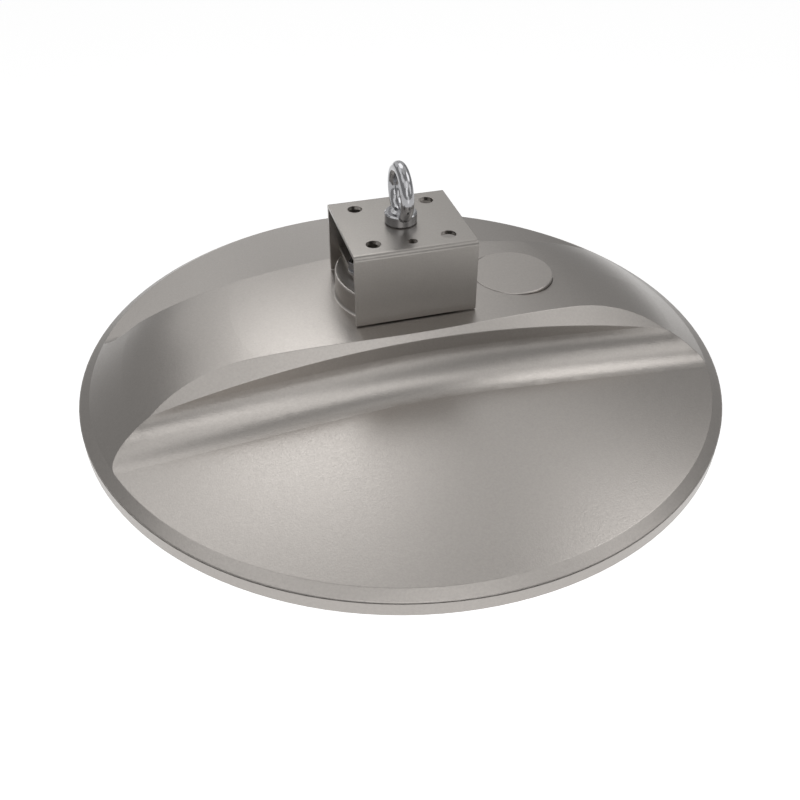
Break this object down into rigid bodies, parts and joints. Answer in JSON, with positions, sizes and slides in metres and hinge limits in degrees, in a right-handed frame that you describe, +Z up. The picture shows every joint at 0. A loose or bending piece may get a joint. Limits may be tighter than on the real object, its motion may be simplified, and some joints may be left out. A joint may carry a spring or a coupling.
{
  "type": "high bay light",
  "caption": "Shallow round high bay light: a cast disc with a raised spine between two scoops, a folded bracket and an eye bolt on top, and a glass-covered light field below.",
  "frame": {"origin": "on the disc's axis, at the bottom of the lower ring", "axes": "+Z up towards the eye bolt; X along the raised spine, with the port cap on the +X side; Y across the spine, with the small bracket hole on the -Y side"},
  "size_m": [0.5, 0.5, 0.178],
  "materials": {
    "housing_coat": "warm grey powder coat, satin, fine grain",
    "bracket_coat": "warm grey powder coat, satin",
    "zinc_steel": "bright zinc plated",
    "cover_glass": "clear toughened",
    "seal_rubber": "matt",
    "circuit_board": "white solder mask",
    "led": "yellow phosphor",
    "lens": "clear, glossy",
    "inner_sheet": "plain mill finish",
    "white_plastic": "satin",
    "black_plastic": "satin",
    "winding": "taped winding",
    "gland_metal": "nickel plated",
    "wire_brown": "satin",
    "wire_blue": "satin",
    "wire_green": "satin",
    "wire_red": "satin",
    "wire_black": "satin"
  },
  "bodies": {
    "root": {"upper_housing": "housing_coat", "lower_ring": "housing_coat", "port_cap": "housing_coat", "mounting_bracket": "bracket_coat", "bracket_floor": "bracket_coat", "eye_bolt": "zinc_steel", "eye_washer": "zinc_steel", "eye_nut": "zinc_steel", "floor_bolts": "zinc_steel", "floor_washers": "zinc_steel", "ring_screws": "zinc_steel", "board_screws": "zinc_steel", "hub_screws": "zinc_steel", "cover_screws": "zinc_steel", "driver_screws": "zinc_steel", "terminal_screws": "zinc_steel", "cover_glass": "cover_glass", "glass_seal": "seal_rubber", "ring_seal": "seal_rubber", "port_seal": "seal_rubber", "gland_seal": "seal_rubber", "lead_grommet": "seal_rubber", "led_board_1": "circuit_board", "led_board_2": "circuit_board", "led_board_3": "circuit_board", "led_board_4": "circuit_board", "led_board_5": "circuit_board", "led_board_6": "circuit_board", "hub_board": "circuit_board", "driver_board": "circuit_board", "led_packages": "led", "lens_plate_1": "lens", "lens_plate_2": "lens", "lens_plate_3": "lens", "lens_plate_4": "lens", "lens_plate_5": "lens", "lens_plate_6": "lens", "driver_cover": "inner_sheet", "driver_base": "inner_sheet", "driver_case": "inner_sheet", "board_links": "white_plastic", "terminal_block": "white_plastic", "port_nut": "black_plastic", "driver_capacitors": "black_plastic", "driver_transformer": "winding", "gland_body": "gland_metal", "gland_nut": "gland_metal", "driver_wire_live": "wire_brown", "driver_wire_neutral": "wire_blue", "driver_wire_earth": "wire_green", "led_lead_plus": "wire_red", "led_lead_minus": "wire_black"}
  },
  "joints": []
}
